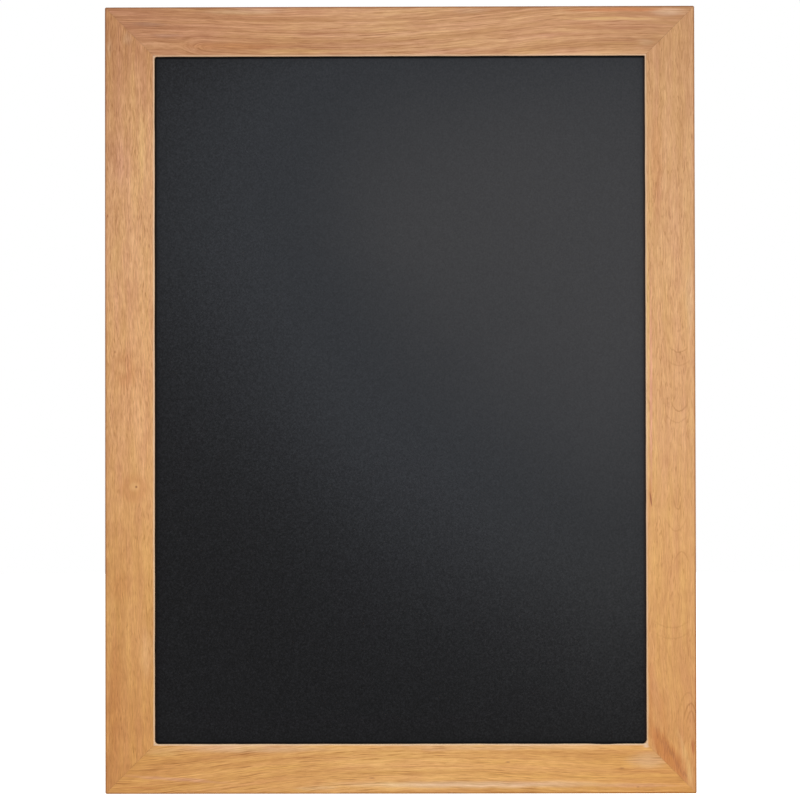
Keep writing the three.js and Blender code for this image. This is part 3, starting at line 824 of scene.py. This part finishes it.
def rubber(name):
    made, shader = material(name)
    raw = place()
    cloud = sway(raw, *RUBBER_CLOUD)
    grit = sway(raw, *RUBBER_GRIT)
    dust = smooth(noise(raw, *RUBBER_DUST), *DUST_STEP)
    colour = darkened(blend(RUBBER_TONE, DUST_TONE, dust * DUST_SHARE), cloud * RUBBER_DENSITY, SHADE)
    height = grit * RUBBER_GRIT_HEIGHT + cloud * RUBBER_CLOUD_HEIGHT
    finished(shader, colour, RUBBER_ROUGHNESS + grit * GRIT_ROUGHNESS, height, RUBBER_SPECULAR)
    return made


LOOKS = {f"{name}_wood": wood(f"{name}_wood", spec) for name, spec in WOODS.items()}
LOOKS["writing_surface"] = writing_surface("writing_surface")
LOOKS["fibreboard"] = fibreboard("fibreboard")
LOOKS |= {name: plated(name, *spec) for name, spec in PLATED.items()}
LOOKS["bumper_rubber"] = rubber("bumper_rubber")

# The slot of each node's finish, by a word in the node's name
SLOTS = {name: f"{name}_wood" for name in WOODS} | {
    "writing_sheet": "writing_surface",
    "backing_board": "fibreboard",
    "v_nail": "nail_steel",
    "flexible_point": "point_steel",
    "strap": "zinc_plate",
    "screw": "screw_steel",
    "d_ring": "ring_wire",
    "bumper": "bumper_rubber",
}


def slot_of(node):
    return next(slot for word, slot in SLOTS.items() if word in node)


# Finer pieces, each in place of one CAD node

# When two points are one, where a smooth surface breaks, what counts as flat, and how far a tool runs
# past what it cuts
MERGE = 1e-4
SHARP_ANGLE = math.radians(35.0)
FLAT_ANGLE = 0.01
OVERRUN = 1.0


def spread(total, steps):
    """Evenly spaced angles from 0 to the total."""
    return [total * i / steps for i in range(steps + 1)]


def clamped(value):
    return max(0.0, min(1.0, value))


def placed(name, data):
    """New object in the scene."""
    made = bpy.data.objects.new(name, data)
    scene.collection.objects.link(made)
    return made


def mesh_of(name, skin):
    """Mesh of a skin, its doubled points merged and its faces turned outwards. The skin is used up."""
    bmesh.ops.remove_doubles(skin, verts=skin.verts, dist=MERGE)
    bmesh.ops.recalc_face_normals(skin, faces=skin.faces)
    mesh = bpy.data.meshes.new(name)
    skin.to_mesh(mesh)
    skin.free()
    return mesh


def built(node, skin, body="board"):
    """Piece of the skin's shape, which stands for a CAD node and moves with a body."""
    mesh = mesh_of(f"{node}_fine", skin)
    mesh.transform(Matrix.Scale(MM, 4) @ Matrix.Translation((0.0, 0.0, CENTRE_Z)))
    mesh.shade_smooth()
    mesh.set_sharp_from_angle(angle=SHARP_ANGLE)
    mesh.materials.append(LOOKS[slot_of(node)])
    made = placed(mesh.name, mesh)
    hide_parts(node)
    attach(made, body)


def own_shape(name):
    """Skin of a CAD node's own shape."""
    skin = bmesh.new()
    skin.from_mesh(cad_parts[name].data)
    skin.transform(Matrix.Translation((0.0, 0.0, -CENTRE_Z)) @ Matrix.Scale(1 / MM, 4))
    bmesh.ops.remove_doubles(skin, verts=skin.verts, dist=MERGE)
    bmesh.ops.dissolve_limit(skin, angle_limit=FLAT_ANGLE, verts=skin.verts, edges=skin.edges)
    skin.normal_update()
    return skin


def lofted(sections, skin=None):
    """Closed skin over a row of closed sections of equally many points."""
    skin = skin or bmesh.new()
    rings = [[skin.verts.new(point) for point in section] for section in sections]
    for first, second in zip(rings, rings[1:]):
        for i, (a, b) in enumerate(zip(first, second)):
            j = (i + 1) % len(first)
            skin.faces.new((a, first[j], second[j], b))
    skin.faces.new(reversed(rings[0]))
    skin.faces.new(rings[-1])
    return skin


def turned(profile, sides, x, z, skin=None):
    """Skin of the profile's [radius, y] points turned about a line along y."""
    turns = spread(FULL_TURN, sides)[:-1]
    sections = [
        [(x + radius * math.cos(a), y, z + radius * math.sin(a)) for a in turns]
        for radius, y in profile
    ]
    return lofted(sections, skin)


def shifted(sections, x, y, z):
    return [[(px + x, py + y, pz + z) for px, py, pz in section] for section in sections]


def carved(skin, tool):
    """What is left of a skin's solid without the tool's solids."""
    pair = [placed(name, mesh_of(name, part)) for name, part in (("carved", skin), ("tool", tool))]
    cut = pair[0].modifiers.new("cut", "BOOLEAN")
    cut.operation = "DIFFERENCE"
    cut.solver = "MANIFOLD"
    cut.object = pair[1]
    shown = pair[0].evaluated_get(bpy.context.evaluated_depsgraph_get())
    left = bmesh.new()
    left.from_mesh(shown.to_mesh())
    shown.to_mesh_clear()
    for made in pair:
        bpy.data.meshes.remove(made.data)
    return left


# The frame's members

CORNER_STEPS = 6
ARRIS_STEPS = 6
FRONT_ROWS = 5
STATION_PITCH = 8.0
REBATE_ARRIS = 0.3

# How far from the mitres the sight edge starts to waver and over what length it comes to the full, how
# high it wavers, over what length a wave comes to its height, and how much the arris is worn
WAVER_START = 8.0
WAVER_RUN = 25.0
WAVER_HEIGHT = 0.10
WAVER_PITCH = 22.0
WAVE_RUN = 15.0
WEAR_SHARE = 0.3
WEAR_PITCH = 37.0
WEAR_SEED_STEP = 4
NOISE_ROW = 0.5

# A V nail's upper rim lies less than this below the back.
NAIL_SINK = 1.0

# Direction outwards as [x, z], seed, and stretches where the sight edge is less true, as [from, to,
# height] along the member
MEMBERS = {
    "top_rail": ((0, 1), 2.0, ()),
    "right_stile": ((1, 0), 5.0, ()),
    "bottom_rail": ((0, -1), 8.0, ((-250.0, -150.0, 0.30),)),
    "left_stile": ((-1, 0), 11.0, ()),
}


def arris(radius):
    """Depth and setback of each step round a quarter-round arris, from the face inwards."""
    return [
        (radius * (1 - math.cos(a)), radius * (1 - math.sin(a)))
        for a in spread(QUARTER_TURN, ARRIS_STEPS)
    ]


def unevenness(t, seed, pitch):
    """A smooth wander from about -1 to 1 along a member."""
    return 2.0 * fractal.noise(Vector((t / pitch, seed, NOISE_ROW)))


def edge_line(half_t, half_n, growth, near, far, count):
    """One edge along a member, as [t, n] points from mitre to mitre, with half a corner arc at each end.
    t runs along the member and n outwards. near and far are the radii of the two corners."""
    eighth = QUARTER_TURN / 2
    start, end = near - half_t, half_t - far
    line = []
    for a in spread(eighth, CORNER_STEPS):
        reach = near + growth
        line.append((start - reach * math.cos(eighth + a), half_n - near + reach * math.sin(eighth + a)))
    line += [(start + (end - start) * i / count, half_n + growth) for i in range(1, count)]
    for a in spread(eighth, CORNER_STEPS):
        reach = far + growth
        line.append((end + reach * math.sin(a), half_n - far + reach * math.cos(a)))
    return line


def member_sections(outward, seed, waves):
    """Sections of a member from mitre to mitre."""
    nx, nz = outward
    tx, tz = nz, -nx
    half_t, half_n = (HALF_WIDTH, HALF_HEIGHT) if nz else (HALF_HEIGHT, HALF_WIDTH)
    count = round(2 * half_t / STATION_PITCH)
    near = SIGHT_CORNERS[(nx - tx, nz - tz)]
    far = SIGHT_CORNERS[(nx + tx, nz + tz)]
    sight_t, sight_n = half_t - MEMBER_WIDTH, half_n - MEMBER_WIDTH

    def outer(y, growth):
        return [(t, y, n) for t, n in edge_line(half_t, half_n, growth, OUTER_CORNER, OUTER_CORNER, count)]

    def sight(depth, setback):
        row = []
        for t, n in edge_line(sight_t, sight_n, setback, near, far, count):
            fade = clamped((sight_t - WAVER_START - abs(t)) / WAVER_RUN)
            rise = WAVER_HEIGHT
            for start, end, height in waves:
                rise += height * clamped(min(t - start, end - t) / WAVE_RUN)
            true_n = n + fade * rise * unevenness(t, seed, WAVER_PITCH)
            worn = 1.0 + WEAR_SHARE * fade * unevenness(t, seed + WEAR_SEED_STEP, WEAR_PITCH)
            row.append((t, FRONT + depth * worn, true_n + setback * (worn - 1.0)))
        return row

    def rebate(y, growth):
        square = edge_line(sight_t + growth, sight_n + growth, 0.0, 0.0, 0.0, count)
        return [(t, y, n) for t, n in square]

    rows = [outer(0.0, -BACK_CHAMFER), outer(-BACK_CHAMFER, 0.0)]
    rows += [outer(FRONT + depth, -setback) for depth, setback in reversed(arris(FRONT_ARRIS))]
    worn_arris = [sight(depth, setback) for depth, setback in arris(SIGHT_ARRIS)]
    last, first = rows[-1], worn_arris[0]
    for i in range(1, FRONT_ROWS + 1):
        share = i / (FRONT_ROWS + 1)
        rows.append([tuple(a + (b - a) * share for a, b in zip(p, q)) for p, q in zip(last, first)])
    rows += worn_arris
    rows.append([(t, LIP_BACK, n) for t, y, n in rows[-1]])
    rows += [rebate(LIP_BACK, REBATE), rebate(-REBATE_ARRIS, REBATE), rebate(0.0, REBATE + REBATE_ARRIS)]

    inset = HALF_GLUE * math.sqrt(2.0)
    sections = []
    stations = len(rows[0])
    for i in range(stations):
        shift = inset * max(0.0, 1.0 - i / CORNER_STEPS)
        shift -= inset * max(0.0, 1.0 - (stations - 1 - i) / CORNER_STEPS)
        section = [(row[i][0] + shift, row[i][1], row[i][2]) for row in rows]
        sections.append([(t * tx + n * nx, y, t * tz + n * nz) for t, y, n in section])
    return sections


def kerfs():
    """The cuts that V nails, points and screws stand in: the fixings grown by a hair."""
    tool = bmesh.new()
    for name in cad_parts:
        if not name.startswith(("v_nail", "flexible_point")) and "_screw_" not in name:
            continue
        part = own_shape(name)
        moved = [v.co + v.normal * v.calc_shell_factor() * KERF_CLEARANCE for v in part.verts]
        for vertex, spot in zip(part.verts, moved):
            # A V nail is sunk below the surface, and the kerf above it stays open.
            above = name.startswith("v_nail") and spot.y > -NAIL_SINK
            vertex.co = (spot.x, OVERRUN, spot.z) if above else spot
        spare = mesh_of("kerf", part)
        tool.from_mesh(spare)
        bpy.data.meshes.remove(spare)
    return tool


for node_name, (outward, seed, waves) in MEMBERS.items():
    built(node_name, carved(lofted(member_sections(outward, seed, waves)), kerfs()))


# Hangers

STRAP_STEPS = 4
BARREL_STEPS = 40
NECK_STEPS = 10
FOOT_STEPS = 18
RIM_STEPS = 3
STRAP_RIM = 0.16
WIRE_SIDES = 20
WIRE_CHAMFER = 0.15
BEND_STEPS = 10
BOW_STEPS = 26
SCREW_SIDES = 48
CROWN_STEPS = 10
HEAD_CHAMFER = 0.15
RIGHT_ANGLE = 90.0
SCREW_TURNS = {"left_1": 17.0, "left_2": 62.0, "right_1": -24.0, "right_2": 38.0}

# Levels of the tapered cross recess: span and width of its arms, and height from the crown's top
RECESS_LEVELS = (
    (RECESS_SPAN + 0.5, RECESS_WIDTH + 0.15, 0.6),
    (RECESS_SPAN * 0.55, RECESS_WIDTH * 0.7, -1.25),
    (0.02, 0.01, -1.6),
)


def strap_line():
    """Side view of the folded strap from foot to foot: [y, z, direction] with z from the ring's axis."""
    radius = BORE_RADIUS + SHEET_METAL / 2
    neck = NECK_RADIUS + SHEET_METAL / 2
    neck_y = STRAP_THICKNESS + NECK_RADIUS
    outer_y = STRAP_THICKNESS - SHEET_METAL / 2
    fall = math.sqrt((radius + neck) ** 2 - (neck_y - AXIS_HEIGHT) ** 2)
    turn = math.atan2(-fall, neck_y - AXIS_HEIGHT)
    foot = STRAP_HALF_WIDTH - STRAP_LENGTH
    line = [(SHEET_METAL / 2, foot * (1 - i / STRAP_STEPS), QUARTER_TURN) for i in range(STRAP_STEPS)]
    for a in spread(turn - math.pi, BARREL_STEPS):
        a += math.pi
        line.append((AXIS_HEIGHT + radius * math.cos(a), radius * math.sin(a), a - QUARTER_TURN))
    for back in spread(turn, NECK_STEPS)[1:]:
        a = turn + math.pi - back
        line.append((neck_y + neck * math.cos(a), -fall + neck * math.sin(a), a + QUARTER_TURN))
    for i in range(1, STRAP_STEPS + 1):
        line.append((outer_y, -fall + (foot + fall) * i / STRAP_STEPS, -QUARTER_TURN))
    return line


def strap_sections():
    """Sections across the folded strap, whose two round feet close in fans."""
    half, thick = STRAP_HALF_WIDTH, SHEET_METAL / 2
    rim = [
        (half - STRAP_RIM * (1 - math.cos(a)), thick - STRAP_RIM * (1 - math.sin(a)))
        for a in spread(QUARTER_TURN, RIM_STEPS)
    ]
    edge = [(0.0, -thick)] + [(r, -h) for r, h in reversed(rim)] + rim + [(0.0, thick)]
    across = [(r, h, 1) for r, h in edge] + [(r, h, -1) for r, h in reversed(edge)]
    line = strap_line()
    stations = [(*line[0], QUARTER_TURN * (1 - i / FOOT_STEPS)) for i in range(FOOT_STEPS)]
    stations += [(*spot, 0.0) for spot in line]
    stations += [(*line[-1], fan) for fan in spread(QUARTER_TURN, FOOT_STEPS)[1:]]
    sections = []
    for y, z, heading, fan in stations:
        out_y, out_z = -math.sin(heading), math.cos(heading)
        section = []
        for reach, height, side in across:
            x = side * reach * math.cos(fan)
            down = reach * math.sin(fan)
            section.append((x, y + height * out_y, z + height * out_z - down))
        sections.append(section)
    return sections


def d_ring_sections():
    """Sections along the bent wire, from one end of the bar to the other, with z from the ring's axis."""
    bow = RING_REACH - RING_HALF_WIDTH
    bend_x = RING_HALF_WIDTH - RING_BEND
    half = [(RING_HALF_GAP, 0.0), (RING_HALF_GAP + WIRE_CHAMFER, 0.0), (bend_x / 2, 0.0)]
    for i in range(BEND_STEPS + 1):
        a = QUARTER_TURN * (i / BEND_STEPS - 1)
        half.append((bend_x + RING_BEND * math.cos(a), RING_BEND + RING_BEND * math.sin(a)))
    for a in spread(QUARTER_TURN, BOW_STEPS)[:-1]:
        half.append((RING_HALF_WIDTH * math.cos(a), bow + RING_HALF_WIDTH * math.sin(a)))
    line = half + [(0.0, RING_REACH)] + [(-x, z) for x, z in reversed(half)]
    lean_y, lean_z = math.sin(RING_LEAN), math.cos(RING_LEAN)
    sections = []
    for i, (x, z) in enumerate(line):
        before, after = line[max(i - 1, 0)], line[min(i + 1, len(line) - 1)]
        along = math.atan2(after[1] - before[1], after[0] - before[0])
        radius = RING_WIRE - (WIRE_CHAMFER if i in (0, len(line) - 1) else 0.0)
        section = []
        for a in spread(FULL_TURN, WIRE_SIDES)[:-1]:
            side = radius * math.cos(a)
            up = radius * math.sin(a)
            reach = z + side * math.cos(along)
            y = up * lean_z - reach * lean_y
            section.append((x - side * math.sin(along), y, reach * lean_z + up * lean_y))
        sections.append(section)
    return sections


def screw(x, z, turn):
    """Pan-head screw with a tapered cross recess, turned by so many degrees."""
    seat = STRAP_THICKNESS + SEAT_GAP
    tip = STRAP_THICKNESS - SCREW_LENGTH
    top = seat + HEAD_RIM + HEAD_CROWN
    profile = [
        (0.0, tip), (SHANK_RADIUS, tip + TIP_LENGTH), (SHANK_RADIUS, seat),
        (HEAD_RADIUS - HEAD_CHAMFER, seat), (HEAD_RADIUS, seat + HEAD_CHAMFER),
    ]
    profile += [
        (HEAD_RADIUS * math.cos(a), seat + HEAD_RIM + HEAD_CROWN * math.sin(a))
        for a in spread(QUARTER_TURN, CROWN_STEPS)
    ]
    cross = []
    for span, width, height in RECESS_LEVELS:
        a, b = span / 2, width / 2
        section = []
        for quarter in range(4):
            angle = math.radians(turn + RIGHT_ANGLE * quarter)
            for u, v in ((a, -b), (a, b), (b, b)):
                px = x + u * math.cos(angle) - v * math.sin(angle)
                pz = z + u * math.sin(angle) + v * math.cos(angle)
                section.append((px, top + height, pz))
        cross.append(section)
    return carved(turned(profile, SCREW_SIDES, x, z), lofted(cross))


for side, x in (("left", -HANGER_X), ("right", HANGER_X)):
    holes = bmesh.new()
    for i in (1, 2):
        node_name = f"{side}_hanger_screw_{i}"
        low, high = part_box(node_name)
        z = (low.z + high.z) / 2 / MM - CENTRE_Z
        hole = ((HOLE_RADIUS, -OVERRUN), (HOLE_RADIUS, STRAP_THICKNESS + OVERRUN))
        turned(hole, SCREW_SIDES, x, z, holes)
        built(node_name, screw(x, z, SCREW_TURNS[f"{side}_{i}"]))
    strap = lofted(shifted(strap_sections(), x, 0.0, HANGER_Z))
    built(f"{side}_hanger_strap", carved(strap, holes))
    ring = lofted(shifted(d_ring_sections(), x, AXIS_HEIGHT, HANGER_Z))
    built(f"{side}_d_ring", ring, f"{side}_ring")


# Bumpers: a foot with a small rim, as [setback, height], a rounded top, and a dimple in it, as [how far
# past its radius, depth]
BUMPER_SIDES = 72
BUMPER_FOOT = ((0.35, 0.0), (0.35, 0.25), (0.05, 0.3), (0.0, 0.5))
DIMPLE_RADIUS = 2.2
DIMPLE_DEPTH = 0.35
DIMPLE_DISH = 0.05
DIMPLE = ((0.3, 0.0), (0.1, 0.05), (-0.2, DIMPLE_DEPTH))

bumper = [(0.0, 0.0)]
bumper += [(BUMPER_RADIUS - back, height) for back, height in BUMPER_FOOT]
bumper += [(BUMPER_RADIUS - back, BUMPER_HEIGHT - deep) for deep, back in reversed(arris(BUMPER_ROUND))]
bumper += [(DIMPLE_RADIUS + past, BUMPER_HEIGHT - deep) for past, deep in DIMPLE]
bumper.append((0.0, BUMPER_HEIGHT - DIMPLE_DEPTH - DIMPLE_DISH))
for side, x in (("left", -BUMPER_X), ("right", BUMPER_X)):
    built(f"{side}_wall_bumper", turned(bumper, BUMPER_SIDES, x, BUMPER_Z))


# The stamped fixings and the backing board have the CAD's shapes, with softened edges.
SOFT_EDGES = {"v_nail": 0.06, "flexible_point": 0.08, "backing_board": 0.3}
SOFT_STEPS = 2
ROUND = 0.5

for node_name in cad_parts:
    for part, width in SOFT_EDGES.items():
        if node_name.startswith(part):
            skin = own_shape(node_name)
            sharp = [edge for edge in skin.edges if edge.calc_face_angle(0.0) > SHARP_ANGLE]
            bmesh.ops.bevel(
                skin, geom=sharp, offset=width, segments=SOFT_STEPS, profile=ROUND, affect="EDGES"
            )
            built(node_name, skin)

# The writing sheet keeps its CAD mesh, and every node gets its finish.
for node_name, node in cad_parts.items():
    look = LOOKS[slot_of(node_name)]
    if not node.data.materials:
        node.data.materials.append(look)
    for i in range(len(node.data.materials)):
        node.data.materials[i] = look


# Studio, in metres

# Place, side length and power of each lamp, all of which face the middle of the board
LAMPS = {
    "key": ((1.4, -2.4, 0.1), 1.6, 28),
    "fill": ((-1.6, -2.2, -0.3), 1.8, 14),
    "back": ((0.9, 2.4, 0.9), 1.8, 26),
}
WHITE = (1.0, 1.0, 1.0, 1.0)
AMBIENT = srgb(188, 188, 188)

for name, (place_at, size, power) in LAMPS.items():
    light = bpy.data.lights.new(name, "AREA")
    light.shape = "SQUARE"
    light.size = size
    light.energy = power
    lamp = placed(name, light)
    lamp.location = place_at
    aim = Vector((0.0, 0.0, CENTRE_Z * MM)) - Vector(place_at)
    lamp.rotation_euler = aim.to_track_quat("-Z", "Y").to_euler()
    lamp.visible_camera = False

# White to the camera, to gloss and through glass; a plain grey light otherwise
world = bpy.data.worlds.new("studio")
scene.world = world
world.use_nodes = True
tree = world.node_tree
background = tree.nodes["Background"]
path = add("ShaderNodeLightPath")
seen = calc("MAXIMUM", Value(path.outputs["Is Camera Ray"]), Value(path.outputs["Is Glossy Ray"]))
seen = calc("MAXIMUM", seen, Value(path.outputs["Is Transmission Ray"]))
feed(background.inputs["Color"], blend(AMBIENT, WHITE, seen))
background.inputs["Strength"].default_value = 1.0

# Pale floor below the hung board. Its own glow, seen by the camera alone, makes it meet the white.
FLOOR_Z = -1.05
FLOOR_RADIUS = 9.0
FLOOR_SIDES = 64
FLOOR_FIBRE = ((3.0, 3.0, 3.0), 1.0, 2.0)
FLOOR_TONES = (srgb(232, 232, 231), srgb(238, 238, 237))
FLOOR_ROUGHNESS = 0.9
FLOOR_HEIGHT = 0.05
FLOOR_SPECULAR = 0.1
GLOW_LEAST = 0.3
GLOW_STEP = (0.8, 2.6)

rim = [
    (FLOOR_RADIUS * math.cos(a), FLOOR_RADIUS * math.sin(a), FLOOR_Z)
    for a in spread(FULL_TURN, FLOOR_SIDES)[:-1]
]
floor_mesh = bpy.data.meshes.new("floor")
floor_mesh.from_pydata(rim, [], [tuple(range(FLOOR_SIDES))])
floor = placed("floor", floor_mesh)
floor_look, floor_shader = material("floor_paper")
spot = place()
fibre = noise(spot, *FLOOR_FIBRE)
paper = blend(*FLOOR_TONES, fibre)
finished(floor_shader, paper, FLOOR_ROUGHNESS, fibre * FLOOR_HEIGHT, FLOOR_SPECULAR)
floor_x, floor_y, _ = parts_of(spot)
out = (calc("ABSOLUTE", floor_x) + calc("ABSOLUTE", floor_y)) * MM
glow = smooth(out, *GLOW_STEP) * (1.0 - GLOW_LEAST) + GLOW_LEAST
camera_ray = Value(add("ShaderNodeLightPath").outputs["Is Camera Ray"])
floor_shader.inputs["Emission Color"].default_value = WHITE
feed(floor_shader.inputs["Emission Strength"], camera_ray * glow)
floor_mesh.materials.append(floor_look)


# Camera at the photograph's place, from a fit to the frame's corners

IMAGE_SIZE = 800
SENSOR_WIDTH = 36.0
FOCAL_PIXELS = 2541.99
CAMERA_PLACE = (0.01666, -2.6, -0.40652)
CAMERA_YAW = 0.0064793
CAMERA_PITCH = 0.0120896
CAMERA_ROLL = -0.0018919
CLIP_START = 0.05
CLIP_END = 50.0

camera_data = bpy.data.cameras.new("camera")
camera_data.sensor_width = SENSOR_WIDTH
camera_data.lens = FOCAL_PIXELS / IMAGE_SIZE * SENSOR_WIDTH
camera_data.clip_start = CLIP_START
camera_data.clip_end = CLIP_END
camera = placed("camera", camera_data)
camera.matrix_world = (
    Matrix.Translation(CAMERA_PLACE)
    @ Matrix.Rotation(CAMERA_YAW, 4, "Z")
    @ Matrix.Rotation(CAMERA_PITCH + QUARTER_TURN, 4, "X")
    @ Matrix.Rotation(CAMERA_ROLL, 4, "Z")
)
scene.camera = camera
scene.view_settings.view_transform = "Standard"
